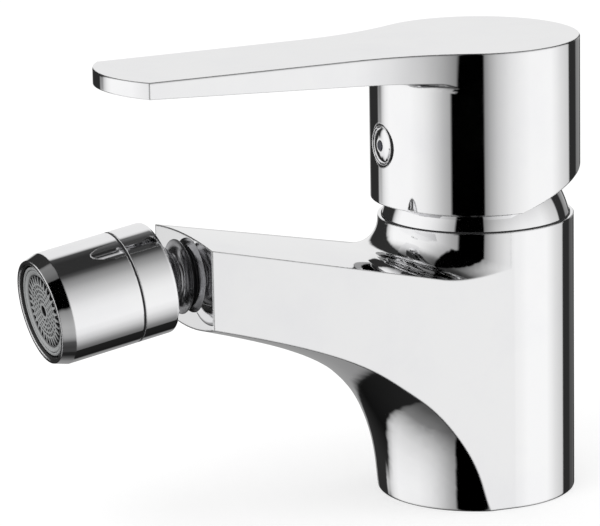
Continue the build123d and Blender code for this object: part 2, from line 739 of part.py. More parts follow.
with BuildPart() as index_button:
    with BuildSketch(Plane(origin=(0, recess_floor_y, grub_height), x_dir=(1, 0, 0), z_dir=(0, 0, -1))):
        with BuildLine():
            Polyline((0, 0), (button_radius, 0), (button_radius, button_rim))
            ThreePointArc(
                (button_radius, button_rim),
                (button_radius * sin(radians(30)), button_rim + button_dome * cos(radians(30)) ** 2),
                (0, button_rim + button_dome),
            )
            Line((0, button_rim + button_dome), (0, 0))
        make_face()
    revolve(axis=Axis((0, 0, grub_height), (0, 1, 0)))
    with BuildSketch(Plane.XZ.offset(-recess_floor_y)):
        with Locations((0, grub_height)):
            Circle(button_plug_radius)
    extrude(amount=-button_plug_length)
    with BuildSketch(Plane.XZ.offset(-button_crown_y)):
        with Locations((0, grub_height)):
            Circle(insert_radius + static_fit)
    extrude(amount=-insert_pocket_depth, mode=Mode.SUBTRACT)
index_button.part.label = "index_button"
export_step(index_button.part, "parts/index_button.step")

with BuildPart() as index_insert:
    with BuildSketch(Plane.XZ.offset(-button_crown_y - insert_pocket_depth)):
        with Locations((0, grub_height)):
            Circle(insert_radius)
    extrude(amount=insert_pocket_depth + insert_proud)
index_insert.part.label = "index_insert"
export_step(index_insert.part, "parts/index_insert.step")

# Swivel nipple: tail in the spout's end face, dished flange, neck and ball. The numbers along the
# axis count from the ball's centre, out of the spout.
nipple_flange_radius = 9.0
nipple_flange_edge = 1.3
nipple_flange_bevel = 0.3
nipple_dish_width = 3.1       # from the neck out to the bevel
nipple_dish_height = 1.2
nipple_dish_radius_share = 0.36
nipple_dish_height_share = 0.22
nipple_neck_radius = 5.6
nipple_bore = 3.5
ball_front = 8.8
nipple_ring_radius = 0.5      # cross-section of the O-ring
nipple_ring_place = 3.0       # behind the end face
nipple_groove_half_width = 0.7
end_face = -ball_overhang
groove_floor = nipple_tail_radius - 2 * nipple_ring_radius - static_fit
ball_back = -sqrt(ball_radius**2 - nipple_neck_radius**2)
dish_foot = end_face + nipple_flange_edge
dish_top = dish_foot + nipple_dish_height
dish_middle = (
    nipple_neck_radius + nipple_dish_radius_share * nipple_dish_width,
    dish_foot + nipple_dish_height_share * nipple_dish_height,
)

with BuildPart() as swivel_nipple:
    with BuildSketch(nipple_section):
        with BuildLine():
            Polyline(
                (nipple_bore, ball_front),
                (nipple_bore, end_face - nipple_tail_length),
                (nipple_tail_radius, end_face - nipple_tail_length),
                (nipple_tail_radius, end_face - nipple_ring_place - nipple_groove_half_width),
                (groove_floor, end_face - nipple_ring_place - nipple_groove_half_width),
                (groove_floor, end_face - nipple_ring_place + nipple_groove_half_width),
                (nipple_tail_radius, end_face - nipple_ring_place + nipple_groove_half_width),
                (nipple_tail_radius, end_face),
                (nipple_flange_radius, end_face),
                (nipple_flange_radius, dish_foot),
                (nipple_flange_radius - nipple_flange_bevel, dish_foot + nipple_flange_bevel),
                (nipple_neck_radius + nipple_dish_width, dish_foot),
            )
            ThreePointArc(
                (nipple_neck_radius + nipple_dish_width, dish_foot),
                dish_middle,
                (nipple_neck_radius, dish_top),
            )
            Line((nipple_neck_radius, dish_top), (nipple_neck_radius, ball_back))
            ThreePointArc(
                (nipple_neck_radius, ball_back),
                (ball_radius, 0),
                on_sphere(ball_radius, ball_front),
            )
            Line(on_sphere(ball_radius, ball_front), (nipple_bore, ball_front))
        make_face()
    revolve(axis=nipple_axis)
swivel_nipple.part.label = "swivel_nipple"
export_step(swivel_nipple.part, "parts/swivel_nipple.step")

with BuildPart() as nipple_o_ring:
    with BuildSketch(nipple_section):
        with Locations((nipple_tail_radius - nipple_ring_radius, end_face - nipple_ring_place)):
            Circle(nipple_ring_radius)
    revolve(axis=nipple_axis)
nipple_o_ring.part.label = "nipple_o_ring"
export_step(nipple_o_ring.part, "parts/nipple_o_ring.step")

# Floating ring between the ball and the sleeve: it yaws, and the sleeve pitches about it
socket_radius = 11.15
slide_ring_half_width = 1.4
slide_ring_inner = ball_radius + running_fit
slide_ring_outer = socket_radius - running_fit

with BuildPart() as slide_ring:
    with BuildSketch(nipple_section):
        with BuildLine():
            ThreePointArc(
                on_sphere(slide_ring_outer, -slide_ring_half_width),
                (slide_ring_outer, 0),
                on_sphere(slide_ring_outer, slide_ring_half_width),
            )
            Line(
                on_sphere(slide_ring_outer, slide_ring_half_width),
                on_sphere(slide_ring_inner, slide_ring_half_width),
            )
            ThreePointArc(
                on_sphere(slide_ring_inner, slide_ring_half_width),
                (slide_ring_inner, 0),
                on_sphere(slide_ring_inner, -slide_ring_half_width),
            )
            Line(
                on_sphere(slide_ring_inner, -slide_ring_half_width),
                on_sphere(slide_ring_outer, -slide_ring_half_width),
            )
        make_face()
    revolve(axis=nipple_axis)
slide_ring.part.label = "slide_ring"
export_step(slide_ring.part, "parts/slide_ring.step")

# Seal in front of the ball. From here on the numbers along the axis count from the ball's centre
# down the barrel.
seal_front = 7.5
seal_back = 5.2
seal_lip = 6.5
ball_seal_radius = 10.4

with BuildPart() as ball_seal:
    with BuildSketch(barrel_section):
        with BuildLine():
            ThreePointArc(
                on_sphere(slide_ring_inner, seal_back),
                on_sphere(slide_ring_inner, (seal_back + seal_lip) / 2),
                on_sphere(slide_ring_inner, seal_lip),
            )
            Polyline(
                on_sphere(slide_ring_inner, seal_lip),
                (on_sphere(slide_ring_inner, seal_lip)[0], seal_front),
                (ball_seal_radius, seal_front),
                (ball_seal_radius, seal_back),
                on_sphere(slide_ring_inner, seal_back),
            )
        make_face()
    revolve(axis=barrel_axis)
ball_seal.part.label = "ball_seal"
export_step(ball_seal.part, "parts/ball_seal.step")

# Barrel: two screwed sleeves with a dark ring in the seam
sleeve_back = -3.84
sleeve_back_fillet = 0.8
seam_start = 5.0
seam_width = 0.55
seam_end = seam_start + seam_width
seam_depth = 0.3
seam_ring_radius = barrel_radius - seam_depth
spigot_radius = 12.0
spigot_length = 5.5
spigot_end = seam_start + spigot_length
web_start = spigot_end + running_fit
web_radius = 8.0
web_thickness = 1.4
gasket_seat = web_start + web_thickness
bevel_length = 3.16
bevel_depth = 1.01
bevel_start = 22.9
mouth = bevel_start + bevel_length
mouth_radius = barrel_radius - bevel_depth
insert_outer_radius = 10.8
insert_slack = 0.4
front_bore_radius = insert_outer_radius + insert_slack
lip_radius = 11.7
lip_depth = 0.66

with BuildPart() as rear_sleeve:
    with BuildSketch(barrel_section):
        with BuildLine():
            ThreePointArc(
                on_sphere(socket_radius, sleeve_back),
                on_sphere(socket_radius, sleeve_back / 2),
                (socket_radius, 0),
            )
            Polyline(
                (socket_radius, 0),
                (socket_radius, spigot_end),
                (spigot_radius, spigot_end),
                (spigot_radius, seam_start),
                (barrel_radius, seam_start),
                (barrel_radius, sleeve_back + sleeve_back_fillet),
            )
            TangentArc(
                (barrel_radius, sleeve_back + sleeve_back_fillet),
                (barrel_radius - sleeve_back_fillet, sleeve_back),
                tangent=(0, -1),
            )
            Line((barrel_radius - sleeve_back_fillet, sleeve_back), on_sphere(socket_radius, sleeve_back))
        make_face()
    revolve(axis=barrel_axis)
rear_sleeve.part.label = "rear_sleeve"
export_step(rear_sleeve.part, "parts/rear_sleeve.step")

with BuildPart() as seam_ring:
    with BuildSketch(barrel_section):
        outline(
            (spigot_radius + static_fit, seam_start),
            (seam_ring_radius, seam_start),
            (seam_ring_radius, seam_end),
            (spigot_radius + static_fit, seam_end),
        )
    revolve(axis=barrel_axis)
seam_ring.part.label = "seam_ring"
export_step(seam_ring.part, "parts/seam_ring.step")

with BuildPart() as front_sleeve:
    with BuildSketch(barrel_section):
        outline(
            (spigot_radius + static_fit, seam_end),
            (barrel_radius, seam_end),
            (barrel_radius, bevel_start),
            (mouth_radius, mouth),
            (lip_radius, mouth),
            (front_bore_radius, mouth - lip_depth),
            (front_bore_radius, gasket_seat),
            (web_radius, gasket_seat),
            (web_radius, web_start),
            (spigot_radius + static_fit, web_start),
        )
    revolve(axis=barrel_axis)
front_sleeve.part.label = "front_sleeve"
export_step(front_sleeve.part, "parts/front_sleeve.step")

holder_back = 5.4
holder_bore_radius = 6.8
seal_cup_floor = seal_front + running_fit

with BuildPart() as seal_holder:
    with BuildSketch(barrel_section):
        outline(
            (ball_seal_radius + static_fit, holder_back),
            (socket_radius - static_fit, holder_back),
            (socket_radius - static_fit, spigot_end),
            (holder_bore_radius, spigot_end),
            (holder_bore_radius, seal_cup_floor),
            (ball_seal_radius + static_fit, seal_cup_floor),
        )
    revolve(axis=barrel_axis)
seal_holder.part.label = "seal_holder"
export_step(seal_holder.part, "parts/seal_holder.step")

# Aerator insert: gasket, housing, domed screen, pierced plate and the slotted outlet grid
aerator_gasket_thickness = 1.6
aerator_recess = 1.46         # behind the mouth of the barrel
aerator_wall = 1.1
ledge_width = 0.7
ledge_thickness = 0.9
grid_recess = 1.9             # behind the end of the housing
aerator_end = mouth - aerator_recess
aerator_inner_radius = insert_outer_radius - aerator_wall
ledge_radius = aerator_inner_radius - ledge_width
ledge_end = aerator_end - grid_recess
ledge_start = ledge_end - ledge_thickness
screen_rim_thickness = 0.8
screen_height = 3.1
screen_wall = 0.6
plate_thickness = 1.5
plate_gap = 2.3               # between the pierced plate and the ledge
screen_gap = 1.0              # between the screen's rim and the pierced plate
plate_start = ledge_start - plate_gap - plate_thickness
screen_rim_start = plate_start - screen_gap - screen_rim_thickness
housing_start = gasket_seat + aerator_gasket_thickness
fitted_radius = aerator_inner_radius - static_fit

with BuildPart() as aerator_gasket:
    with BuildSketch(barrel_section):
        outline(
            (web_radius, gasket_seat),
            (insert_outer_radius, gasket_seat),
            (insert_outer_radius, housing_start),
            (web_radius, housing_start),
        )
    revolve(axis=barrel_axis)
aerator_gasket.part.label = "aerator_gasket"
export_step(aerator_gasket.part, "parts/aerator_gasket.step")

with BuildPart() as aerator_housing:
    with BuildSketch(barrel_section):
        outline(
            (aerator_inner_radius, housing_start),
            (insert_outer_radius, housing_start),
            (insert_outer_radius, aerator_end),
            (aerator_inner_radius, aerator_end),
            (aerator_inner_radius, ledge_end),
            (ledge_radius, ledge_end),
            (ledge_radius, ledge_start),
            (aerator_inner_radius, ledge_start),
        )
    revolve(axis=barrel_axis)
aerator_housing.part.label = "aerator_housing"
export_step(aerator_housing.part, "parts/aerator_housing.step")


def dome_outline(rim_radius, rim_along, height):
    """Arc from the axis to the rim of a shallow dome that bulges back up the barrel."""
    radius = (rim_radius**2 + height**2) / (2 * height)
    middle = rim_radius / 2
    sag = radius - sqrt(radius**2 - middle**2)
    return (0, rim_along - height), (middle, rim_along - height + sag), (rim_radius, rim_along)


with BuildPart() as inlet_screen:
    with BuildSketch(barrel_section):
        outer_arc = dome_outline(fitted_radius, screen_rim_start, screen_height)
        inner_arc = dome_outline(fitted_radius - screen_wall, screen_rim_start, screen_height - screen_wall)
        with BuildLine():
            ThreePointArc(*outer_arc)
            Polyline(
                (fitted_radius, screen_rim_start),
                (fitted_radius, screen_rim_start + screen_rim_thickness),
                (fitted_radius - screen_wall, screen_rim_start + screen_rim_thickness),
                (fitted_radius - screen_wall, screen_rim_start),
            )
            ThreePointArc(*inner_arc)
            Line(inner_arc[0], outer_arc[0])
        make_face()
    revolve(axis=barrel_axis)
inlet_screen.part.label = "inlet_screen"
export_step(inlet_screen.part, "parts/inlet_screen.step")


def across_barrel(along):
    """Plane across the barrel at this distance from the ball's centre, facing the mouth."""
    return Plane(origin=ball_centre + barrel_direction * along, x_dir=(1, 0, 0), z_dir=barrel_direction)


plate_row_radii = (7.6, 5.2, 2.8)
plate_row_counts = (20, 14, 8)
plate_hole_radius = 0.6

with BuildPart() as diffuser_plate:
    with BuildSketch(across_barrel(plate_start)):
        Circle(fitted_radius)
        for row_radius, count in zip(plate_row_radii, plate_row_counts):
            with PolarLocations(row_radius, count):
                RegularPolygon(radius=plate_hole_radius, side_count=6, mode=Mode.SUBTRACT)
    extrude(amount=plate_thickness)
diffuser_plate.part.label = "diffuser_plate"
export_step(diffuser_plate.part, "parts/diffuser_plate.step")

# Outlet grid: radial slots around three rings of small windows, with a plain hub in the middle
grid_thickness = 1.6
grid_start = ledge_end
grid_row_radii = (8.15, 6.15, 4.6, 3.15)
grid_row_counts = (36, 30, 24, 16)
grid_slot_lengths = (1.7, 0.9, 0.8, 0.7)
grid_slot_widths = (0.5, 0.65, 0.6, 0.6)
grid_hub_radius = 1.9
grid_hub_height = 0.35

with BuildPart() as outlet_grid:
    with BuildSketch(across_barrel(grid_start)):
        Circle(fitted_radius)
        for row, row_radius in enumerate(grid_row_radii):
            with PolarLocations(row_radius, grid_row_counts[row]):
                Rectangle(grid_slot_lengths[row], grid_slot_widths[row], mode=Mode.SUBTRACT)
    extrude(amount=grid_thickness)
    with BuildSketch(across_barrel(grid_start + grid_thickness)):
        Circle(grid_hub_radius)
    extrude(amount=grid_hub_height)
outlet_grid.part.label = "outlet_grid"
export_step(outlet_grid.part, "parts/outlet_grid.step")
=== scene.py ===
import json
import math

import bmesh
import bpy
import numpy as np
from mathutils import Matrix, Vector


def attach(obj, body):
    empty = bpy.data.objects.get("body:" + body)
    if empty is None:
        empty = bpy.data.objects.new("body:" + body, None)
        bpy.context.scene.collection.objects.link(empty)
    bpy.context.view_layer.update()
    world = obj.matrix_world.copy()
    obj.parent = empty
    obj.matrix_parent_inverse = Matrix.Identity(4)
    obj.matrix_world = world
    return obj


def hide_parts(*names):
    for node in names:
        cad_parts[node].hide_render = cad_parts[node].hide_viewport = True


# Looks of a chromed single-lever bidet mixer. Metres, +Z up, the spout points along -Y.

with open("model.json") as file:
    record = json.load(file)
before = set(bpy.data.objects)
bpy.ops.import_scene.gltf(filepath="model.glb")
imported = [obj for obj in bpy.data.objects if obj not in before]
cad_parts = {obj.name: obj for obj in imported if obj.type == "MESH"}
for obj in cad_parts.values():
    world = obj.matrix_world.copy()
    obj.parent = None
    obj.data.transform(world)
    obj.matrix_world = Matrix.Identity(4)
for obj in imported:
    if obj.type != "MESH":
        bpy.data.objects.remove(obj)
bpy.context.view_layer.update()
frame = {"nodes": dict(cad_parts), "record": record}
nodes = frame["nodes"]
print("frame loaded:", len(nodes), "nodes")


def grey(level):
    # Opaque grey as a colour with its alpha
    return (level, level, level, 1)


# A shader socket, wrapped so that shader maths reads as Python
class Socket:

    def __init__(self, maker, value):
        self.maker = maker
        self.value = value

    def math(self, operation, *others):
        return self.maker.node("ShaderNodeMath", {"operation": operation}, [self, *others])

    def __add__(self, other):
        return self.math("ADD", other)

    def __sub__(self, other):
        return self.math("SUBTRACT", other)

    def __rsub__(self, other):
        return self.maker.node("ShaderNodeMath", {"operation": "SUBTRACT"}, [other, self])

    def __mul__(self, other):
        return self.math("MULTIPLY", other)

    __radd__ = __add__
    __rmul__ = __mul__

    def clamp(self):
        return self.maker.node("ShaderNodeClamp", {}, [self, 0.0, 1.0])

    # Colour ramp through stops of (place, grey or colour)
    def ramp(self, stops):
        return self.maker.node("ShaderNodeValToRGB", {"stops": stops}, [self])

    # Ramp through stops of (angle, grey), where the socket runs from 0 to 1 over this many degrees
    # and is 0.5 at the angle 0
    def angleRamp(self, stops, degrees):
        return self.ramp([(angle / degrees + 0.5, level) for angle, level in stops])


# Adds nodes to one node tree. A node's inputs are a list in order or a dictionary by name, and its
# settings are its own options, or a colour ramp's stops.
class Maker:

    def __init__(self, tree):
        self.tree = tree
        tree.nodes.clear()

    def node(self, kind, settings, inputs, output=0):
        made = self.tree.nodes.new(kind)
        for name, value in settings.items():
            if name == "stops":
                self.fillRamp(made.color_ramp, value)
            else:
                setattr(made, name, value)
        pairs = inputs.items() if isinstance(inputs, dict) else enumerate(inputs)
        for key, value in pairs:
            if isinstance(value, Socket):
                self.tree.links.new(value.value, made.inputs[key])
            elif value is not None:
                made.inputs[key].default_value = value
        return Socket(self, made.outputs[output]) if made.outputs else None

    def fillRamp(self, ramp, stops):
        while len(ramp.elements) < len(stops):
            ramp.elements.new(1.0)
        for element, (place, colour) in zip(ramp.elements, stops):
            element.position = place
            element.color = grey(colour) if isinstance(colour, (int, float)) else (*colour, 1)

    def mix(self, factor, first, second):
        return self.node("ShaderNodeMix", {"data_type": "RGBA"}, {0: factor, 6: first, 7: second}, 2)

    def vector(self, operation, *inputs):
        output = "Value" if operation == "DOT_PRODUCT" else "Vector"
        return self.node("ShaderNodeVectorMath", {"operation": operation}, inputs, output)

    def lightPath(self, kind):
        return self.node("ShaderNodeLightPath", {}, [], kind)


# Camera, fitted to the photograph. The lens and the sensor's width are in millimetres.
cameraSettings = {
    "place": (0.823987, -0.443702, 0.283147),
    "forward": (-0.87608312, 0.42092495, -0.2351607),
    "right": (0.43702437, 0.89925953, -0.01849333),
    "up": (-0.2036862, 0.11897265, 0.97178055),
    "lens": 235.46,
    "sensor": 36.0,
    "clipEnd": 50.0,
}


def addCamera(settings):
    # The camera stands at its place, with its axes along right, up and backwards
    data = bpy.data.cameras.new("camera")
    data.sensor_width = settings["sensor"]
    data.lens = settings["lens"]
    data.clip_end = settings["clipEnd"]
    camera = bpy.data.objects.new("camera", data)
    bpy.context.scene.collection.objects.link(camera)
    columns = [Vector(settings["right"]), Vector(settings["up"]), -Vector(settings["forward"])]
    turn = Matrix(columns).transposed().to_4x4()
    camera.matrix_world = Matrix.Translation(settings["place"]) @ turn
    bpy.context.scene.camera = camera
    print("camera placed")


addCamera(cameraSettings)

# Studio: the panels that the mirror chrome sees. Each panel has its grey levels by bearing and the
# share of them that is left by height. Bearings are counted in degrees from the camera's side of the
# object, positive to the right, and heights in degrees above the horizon.
backWallHeights = (
    (-70, 0.05), (-50, 0.3), (-30, 0.36), (-12, 0.4), (-6, 1.0), (46, 1.0), (51, 0.85), (57, 0.04),
    (70, 0.0),
)
studio = {
    "cameraBearing": -25.66,
    "panels": {
        "leftSoftbox": {
            "bearings": (
                (-126, 0.0), (-122, 0.55), (-116, 0.86), (-108, 0.97), (-76, 0.96), (-60, 0.86), (-52, 0.76),
                (-44, 0.62), (-36, 0.47), (-29, 0.36), (-27.5, 0.0),
            ),
            "heights": (
                (-90, 0.03), (-70, 0.07), (-58, 0.2), (-50, 0.5), (-42, 0.74), (-34, 0.87), (-22, 0.97),
                (-10, 1.0), (30, 1.0), (40, 0.85), (50, 0.45), (60, 0.24), (75, 0.13), (90, 0.1),
            ),
        },
        "rightSoftbox": {
            "bearings": (
                (7.2, 0.0), (8.5, 0.24), (14, 0.4), (22.5, 0.6), (36, 0.8), (48, 0.9), (60, 0.97),
                (88, 0.97), (96, 0.87), (104, 0.75), (112, 0.67), (119, 0.6), (121, 0.0),
            ),
            "heights": (
                (-90, 0.03), (-75, 0.04), (-64, 0.1), (-60, 0.3), (-52, 0.62), (-42, 0.86), (-30, 1.0),
                (-3, 1.0), (5, 0.96), (13, 0.9), (21, 0.8), (29, 0.7), (37, 0.6), (45, 0.47), (51, 0.36),
                (59, 0.25), (64, 0.16), (69, 0.05), (75, 0.0),
            ),
        },
        "leftSoftboxWings": {
            "bearings": (
                (-133, 0.0), (-131, 0.72), (-126, 0.8), (-122, 0.3), (-116, 0.0), (-29, 0.0), (-27.5, 0.37),
                (-23.2, 0.34), (-21.8, 0.0),
            ),
            "heights": ((-24, 0.0), (-20, 1.0), (-8, 1.0), (-3, 0.0)),
        },
        "cornerStrip": {
            "bearings": ((138, 0.0), (142, 0.25), (150, 0.3), (156, 0.45), (160, 0.0)),
            "heights": ((-24, 0.0), (-12, 0.3), (-4, 1.0), (14, 0.6), (22, 0.0)),
        },
        "backWallLeft": {
            "bearings": ((-180, 0.82), (-168, 0.82), (-163, 0.0)),
            "heights": backWallHeights,
        },
        "backWallRight": {
            "bearings": ((165, 0.0), (170, 0.82), (180, 0.82)),
            "heights": backWallHeights,
        },
    },
    "darkRoom": ((-90, 0.02), (-60, 0.014), (-35, 0.006), (-22, 0.026), (60, 0.03), (90, 0.03)),
    "outsideBlackGap": ((-28.22, 1.0), (-27.5, 0.0), (7.2, 0.0), (7.92, 1.0)),
    "fillLight": 0.95,
    "backdrop": 1.0,
}
fullCircle = 360
poleToPole = 180


def addWorld(settings):
    # Mirror rays see the dark room plus each panel's grey by bearing times its share by height, other
    # rays an even fill light, and the camera a white backdrop. Bearing = atan2(aside, ahead) and
    # height = asin(z), both brought to the range from 0 to 1.
    world = bpy.data.worlds.new("studio")
    bpy.context.scene.world = world
    world.use_nodes = True
    make = Maker(world.node_tree)
    direction = make.node("ShaderNodeTexCoord", {}, [], "Generated")
    angle = math.radians(settings["cameraBearing"])
    ahead = make.vector("DOT_PRODUCT", direction, (math.cos(angle), math.sin(angle), 0))
    aside = make.vector("DOT_PRODUCT", direction, (-math.sin(angle), math.cos(angle), 0))
    upward = make.node("ShaderNodeSeparateXYZ", {}, [direction], "Z")
    bearing = aside.math("ARCTAN2", ahead) * (0.5 / math.pi) + 0.5
    height = upward.math("ARCSINE") * (1 / math.pi) + 0.5
    seen = bearing.angleRamp(settings["outsideBlackGap"], fullCircle)
    seen = seen * height.angleRamp(settings["darkRoom"], poleToPole)
    for panel in settings["panels"].values():
        across = bearing.angleRamp(panel["bearings"], fullCircle)
        seen = seen + across * height.angleRamp(panel["heights"], poleToPole)
    colour = make.mix(make.lightPath("Is Glossy Ray"), grey(settings["fillLight"]), seen)
    colour = make.mix(make.lightPath("Is Camera Ray"), colour, grey(settings["backdrop"]))
    background = make.node("ShaderNodeBackground", {}, {"Color": colour, "Strength": 1.0})
    make.node("ShaderNodeOutputWorld", {}, {"Surface": background})
    print("world made")


# Floor: paint that takes the object's shadow, and a glow that only the camera sees. No mirror shows it.
floorSettings = {"halfWidth": 6.0, "paint": 0.5, "glow": 0.55}


def addFloor(settings):
    # A large square at the height of the object's base
    half = settings["halfWidth"]
    mesh = bpy.data.meshes.new("floor")
    corners = [(-half, -half, 0), (half, -half, 0), (half, half, 0), (-half, half, 0)]
    mesh.from_pydata(corners, [], [(0, 1, 2, 3)])
    floor = bpy.data.objects.new("floor", mesh)
    bpy.context.scene.collection.objects.link(floor)
    material = bpy.data.materials.new("paleFloor")
    material.use_nodes = True
    make = Maker(material.node_tree)
    paint = make.node("ShaderNodeBsdfDiffuse", {}, {"Color": grey(settings["paint"])})
    glow = make.node("ShaderNodeEmission", {}, {"Color": grey(settings["glow"]),
                                                "Strength": make.lightPath("Is Camera Ray")})
    both = make.node("ShaderNodeAddShader", {}, [paint, glow])
    make.node("ShaderNodeOutputMaterial", {}, {"Surface": both})
    mesh.materials.append(material)
    floor.visible_glossy = False
    print("floor laid")


# Key light: a round lamp aimed at the origin, which no mirror shows. Power in watts.
keyLight = {"power": 6.0, "size": 0.9, "place": (0.5, -1.0, 1.6)}


def addKeyLight(settings):
    # A disk turned so that it faces the origin
    data = bpy.data.lights.new("keyLight", "AREA")
    data.shape = "DISK"
    data.size = settings["size"]
    data.energy = settings["power"]
    light = bpy.data.objects.new("keyLight", data)
    bpy.context.scene.collection.objects.link(light)
    place = Vector(settings["place"])
    aim = (-place).to_track_quat("-Z", "Y").to_matrix().to_4x4()
    light.matrix_world = Matrix.Translation(place) @ aim
    light.visible_glossy = False
    print("key light hung")


addWorld(studio)
addFloor(floorSettings)
addKeyLight(keyLight)

# Materials. A noise is given as its scale, its detail and, where it isn't 0.5, its roughness. A
# surface's roughness is its gloss value, plus its unevenness times the noise. Depths are in metres.


def newMaterial(name):
    # An empty material, its maker and the piece's own coordinates
    material = bpy.data.materials.new(name)
    material.use_nodes = True
    make = Maker(material.node_tree)
    place = make.node("ShaderNodeTexCoord", {}, [], "Object")
    return material, make, place


def finishMaterial(make, colour, roughness, normal, metallic=0.0):
    # The shader and the output that close a material
    sockets = {"Base Color": colour, "Metallic": metallic, "Roughness": roughness, "Normal": normal}
    shader = make.node("ShaderNodeBsdfPrincipled", {}, sockets)
    make.node("ShaderNodeOutputMaterial", {}, {"Surface": shader})


def noise(make, place, scale, detail, roughness=0.5):
    # Grey noise over the piece's own coordinates
    sockets = {"Vector": place, "Scale": scale, "Detail": detail, "Roughness": roughness}
    return make.node("ShaderNodeTexNoise", {}, sockets, "Fac")


def bump(make, height, distance, normal=None):
    # Normal that follows a height, which runs from 0 to 1 over the distance
    sockets = {"Distance": distance, "Height": height, "Normal": normal}
    return make.node("ShaderNodeBump", {}, sockets, "Normal")


# Chrome plate: a mirror with a few smudges, over a casting that is faintly wavy and whose polished
# edges are rounded by a radius in metres. The lever's lean is the share of its upward direction that
# is added to its normals: its walls stay upright and only mirror as if they leaned.
plate = {
    "clean": (0.93, 0.93, 0.93465, 1),
    "smudged": (0.9021, 0.9021, 0.91605, 1),
    "smudges": (60, 4, 0.6),
    "smudgeStops": ((0.45, 0.0), (0.75, 1.0)),
    "gloss": 0.025,
    "unevenness": 0.03,
    "waves": (45, 1.0),
    "waveDepth": 0.000002,
    "edgeSamples": 6,
    "edgeRadius": 0.0004,
    "bodyEdgeRadius": 0.0006,
    "leverEdgeRadius": 0.0005,
    "leverLean": 0.13,
}


def plateFinish(make, place, clean, smudged):
    # Colour and roughness of the plate, which both follow the smudges
    smudge = noise(make, place, *plate["smudges"]).ramp(plate["smudgeStops"])
    return make.mix(smudge, clean, smudged), smudge * plate["unevenness"] + plate["gloss"]


def plateNormal(make, place, edgeRadius, lean=0.0):
    # Normal = rounded edges' normal + lean * the piece's own upward direction, brought back to length
    # one, with the waves on top
    rays = {"samples": plate["edgeSamples"]}
    normal = make.node("ShaderNodeBevel", rays, {"Radius": edgeRadius}, "Normal")
    if lean:
        toWorld = {"vector_type": "VECTOR", "convert_from": "OBJECT", "convert_to": "WORLD"}
        upward = make.node("ShaderNodeVectorTransform", toWorld, [(0, 0, lean)])
        normal = make.vector("NORMALIZE", make.vector("ADD", normal, upward))
    return bump(make, noise(make, place, *plate["waves"]), plate["waveDepth"], normal)


def chromeMaterial(name, edgeRadius, lean=0.0):
    # Plate whose edges have a radius of their own
    material, make, place = newMaterial(name)
    tone, roughness = plateFinish(make, place, plate["clean"], plate["smudged"])
    finishMaterial(make, tone, roughness, plateNormal(make, place, edgeRadius, lean), 1.0)
    return material


# Where the outlet sits: the ball's centre, and how far the barrel points down at rest
outlet = {
    "ball": (0.0, -0.0895, 0.0626),
    "droop": math.radians(9.3),
}
barrelDirection = (0.0, -math.cos(outlet["droop"]), -math.sin(outlet["droop"]))


def fromBall(make, place):
    # Offset of a point from the ball's centre, and the part of it that lies along the barrel
    offset = make.vector("SUBTRACT", place, outlet["ball"])
    return offset, make.vector("DOT_PRODUCT", offset, barrelDirection)


# Mouth of the outlet: nearer to the barrel's axis than this distance, inside its lip, the bore is painted
# dark as painted shade
mouth = {
    "clean": (0.93, 0.93, 0.935, 1),
    "smudged": (0.9, 0.9, 0.916, 1),
    # Painted shade: the dark, matt colour that replaces the plate inside the lip
    "boreShadeColour": (0.02, 0.02, 0.02, 1),
    "boreShadeRoughness": 0.45,
    "boreShadeRadius": 0.01172,
}


def mouthMaterial():
    # Plate that stops at the lip: nearer to the barrel's axis the bore is painted dark and matt, as painted
    # shade inside the mouth. The distance from the axis squared is the distance from the ball squared, less
    # the part along the barrel squared.
    material, make, place = newMaterial("chromeMouth")
    offset, along = fromBall(make, place)
    fromAxisSquared = make.vector("DOT_PRODUCT", offset, offset) - along * along
    inBoreShade = fromAxisSquared.math("LESS_THAN", mouth["boreShadeRadius"] ** 2)
    tone, roughness = plateFinish(make, place, mouth["clean"], mouth["smudged"])
    tone = make.mix(inBoreShade, tone, mouth["boreShadeColour"])
    roughness = roughness + inBoreShade * mouth["boreShadeRoughness"]
    finishMaterial(make, tone, roughness, plateNormal(make, place, plate["edgeRadius"]), 1 - inBoreShade)
    return material


# Aerator insert: pale moulded plastic, with painted shade that darkens it where it lies deep
insert = {
    "facePlane": 0.0251,         # front of the insert's face, from the ball along the barrel
    "depthShadePerMetre": 2500,       # the tones below run from deep to shallow over 0.4 mm
    # The tones are painted shade: near black deep in the holes, the plastic's pale grey at the face
    "depthShadeTones": ((0.0, (0.012, 0.012, 0.013)), (0.55, (0.1, 0.1, 0.102)), (0.9, (0.4, 0.41, 0.41))),
    "depthShadeNoise": (700, 3),
    "depthShadeNoiseSpread": 0.3,
    "grain": (1500, 2),
    "grainDepth": 0.00001,
    "gloss": 0.3,
    "unevenness": 0.12,
}


def insertMaterial():
    # Painted shade: tone = 1 at the face, less the depth behind it times the shade per metre, varied at
    # random by a noise
    material, make, place = newMaterial("insertPlastic")
    along = fromBall(make, place)[1]
    grain = noise(make, place, *insert["grain"])
    spread = insert["depthShadeNoiseSpread"]
    depthShadeNoise = noise(make, place, *insert["depthShadeNoise"]) * spread - spread / 2
    # Painted shade: the height runs from 0 deep behind the face to 1 at the face and picks the tone
    height = (along - insert["facePlane"]) * insert["depthShadePerMetre"] + 1 + depthShadeNoise
    tone = height.clamp().ramp(insert["depthShadeTones"])
    roughness = grain * insert["unevenness"] + insert["gloss"]
    finishMaterial(make, tone, roughness, bump(make, grain, insert["grainDepth"]))
    return material


